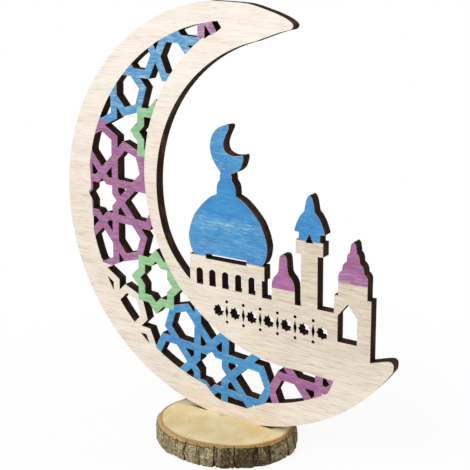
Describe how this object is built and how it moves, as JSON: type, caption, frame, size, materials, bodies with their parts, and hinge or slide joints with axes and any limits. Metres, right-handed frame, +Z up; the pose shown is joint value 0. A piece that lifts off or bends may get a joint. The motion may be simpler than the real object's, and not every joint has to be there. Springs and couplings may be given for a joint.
{
  "type": "crescent table ornament",
  "caption": "Laser-cut plywood crescent with a painted rosette lattice and a mosque skyline, standing in a slot across a round slice of a branch.",
  "frame": {"origin": "on the underside of the branch slice, on the surface that the ornament stands on, straight below the middle of the plywood's thickness and 3 mm left of the crescent's centre", "axes": "+Z up, -Y towards the painted front, +X to the right, along the plywood crescent"},
  "size_m": [0.1745, 0.0556, 0.1986],
  "materials": {
    "core_ply": "matte, edges charred by the laser",
    "veneer": "matte, sanded, bare",
    "blue_paint": "matte, thin streaky coat",
    "purple_paint": "matte, thin streaky coat",
    "green_paint": "matte, thin streaky coat",
    "slice_wood": "matte, sawn end grain",
    "bark": "rough, furrowed"
  },
  "bodies": {
    "base_slice": {"slice_wood": "slice_wood", "slice_bark": "bark"},
    "crescent": {"crescent_core": "core_ply", "crescent_front_veneer": "veneer", "crescent_back_veneer": "veneer", "dome_paint": "blue_paint", "minaret_cap_paint": "blue_paint", "turret_dome_paint": "purple_paint", "gatehouse_dome_paint": "purple_paint", "lattice_blue_paint": "blue_paint", "lattice_purple_paint": "purple_paint", "lattice_green_paint": "green_paint"}
  },
  "joints": [
    {"name": "crescent_lift", "type": "slide", "parent": "base_slice", "child": "crescent", "axis": [0, 0, 1], "range_m": [0, 0.012]}
  ]
}
